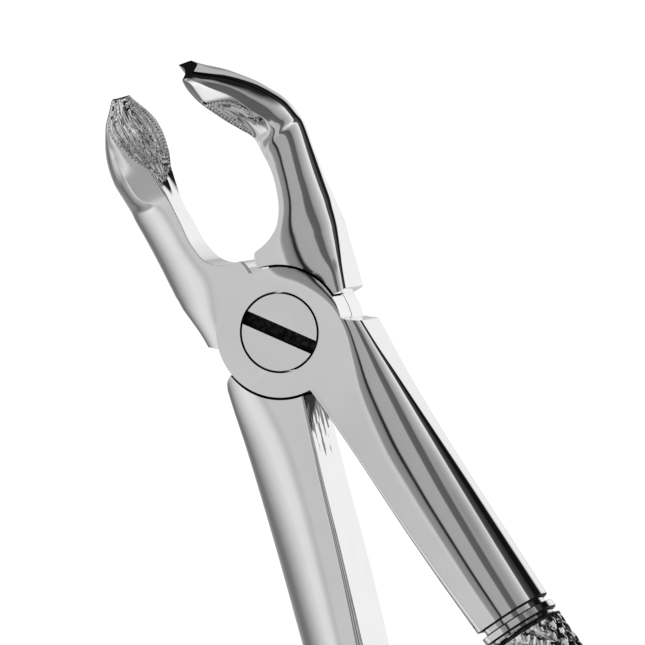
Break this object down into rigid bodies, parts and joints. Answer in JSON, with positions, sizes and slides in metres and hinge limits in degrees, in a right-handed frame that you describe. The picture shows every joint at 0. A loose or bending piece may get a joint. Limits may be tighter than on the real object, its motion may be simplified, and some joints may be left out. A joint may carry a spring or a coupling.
{
  "type": "extraction forceps",
  "caption": "Dental extraction forceps: two crossing forged halves with bent serrated beaks and knurled grips, turning on a slotted pivot screw.",
  "frame": {"origin": "on the pivot screw's axis, at the back face of the joint", "axes": "+Z along the pivot axis from the back to the screw's slotted head, +Y towards the beaks, +X to the right seen from the front"},
  "size_m": [0.0473, 0.1696, 0.0166],
  "materials": {
    "front_half_steel": "mirror polished stainless steel, knurled grip",
    "back_half_steel": "mirror polished stainless steel, knurled grip",
    "screw_steel": "polished stainless steel, faced flush with the joint"
  },
  "bodies": {
    "back": {"back_half": "back_half_steel", "pivot_screw": "screw_steel"},
    "front": {"front_half": "front_half_steel"}
  },
  "joints": [
    {"name": "joint_hinge", "type": "hinge", "parent": "back", "child": "front", "pos_m": [0, 0, 0.005], "axis": [0, 0, 1], "range_deg": [-5.4, 19]}
  ]
}
